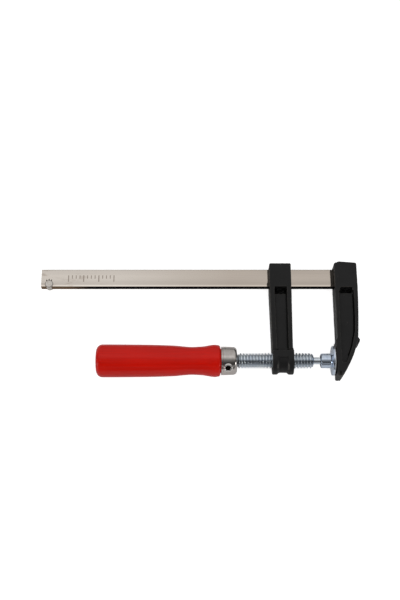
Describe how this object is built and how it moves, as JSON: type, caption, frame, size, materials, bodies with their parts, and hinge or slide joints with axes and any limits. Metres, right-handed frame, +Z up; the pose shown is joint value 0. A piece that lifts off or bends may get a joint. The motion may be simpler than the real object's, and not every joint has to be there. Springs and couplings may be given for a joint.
{
  "type": "f clamp",
  "caption": "F clamp with a flat steel rail, cast fixed jaw, sliding arm, screw spindle with swivel pad and a turned wooden handle.",
  "frame": {"origin": "centre of the clamp's outline as it lies flat, on the surface that it lies on", "axes": "+X along the rail towards the fixed jaw, +Y from the spindle towards the rail, +Z up from the surface"},
  "size_m": [0.208, 0.0778, 0.0212],
  "materials": {
    "rail_nickel": "satin nickel plating over cold-drawn bar",
    "stop_pin_steel": "plated, staked",
    "jaw_black": "satin black enamel on a casting",
    "arm_black": "satin black enamel on a casting",
    "spindle_zinc": "blue-white zinc plating",
    "ring_spring_steel": "oiled spring wire",
    "pad_zinc": "blue-white zinc plating, turned",
    "handle_red": "red lacquer, glossy",
    "ferrule_nickel": "bright nickel plating",
    "handle_pin_steel": "plain spring pin"
  },
  "bodies": {
    "rail_and_jaw": {"rail": "rail_nickel", "rail_end_stop": "stop_pin_steel", "fixed_jaw": "jaw_black"},
    "arm": {"sliding_arm": "arm_black"},
    "pad_ring": {"ball_retaining_ring": "ring_spring_steel"},
    "spindle_and_handle": {"spindle": "spindle_zinc", "ferrule": "ferrule_nickel", "handle": "handle_red", "handle_pin": "handle_pin_steel"},
    "pad": {"swivel_pad": "pad_zinc"}
  },
  "joints": [
    {"name": "arm_slide", "type": "slide", "parent": "rail_and_jaw", "child": "arm", "axis": [1, 0, 0], "range_m": [-0.1422, 0]},
    {"name": "spindle_feed", "type": "slide", "parent": "arm", "child": "pad_ring", "axis": [1, 0, 0], "range_m": [-0.017, 0]},
    {"name": "spindle_turn", "type": "hinge", "parent": "pad_ring", "child": "spindle_and_handle", "pos_m": [0.0821, -0.02735, 0.0106], "axis": [1, 0, 0], "range_deg": [-3061, 0]},
    {"name": "pad_tilt", "type": "hinge", "parent": "pad_ring", "child": "pad", "pos_m": [0.0821, -0.02735, 0.0106], "axis": [0, 0, 1], "range_deg": [-4, 4]}
  ],
  "couplings": [
    {"joint": "spindle_turn", "follows": "spindle_feed", "rad_per_m": 3141.6}
  ]
}
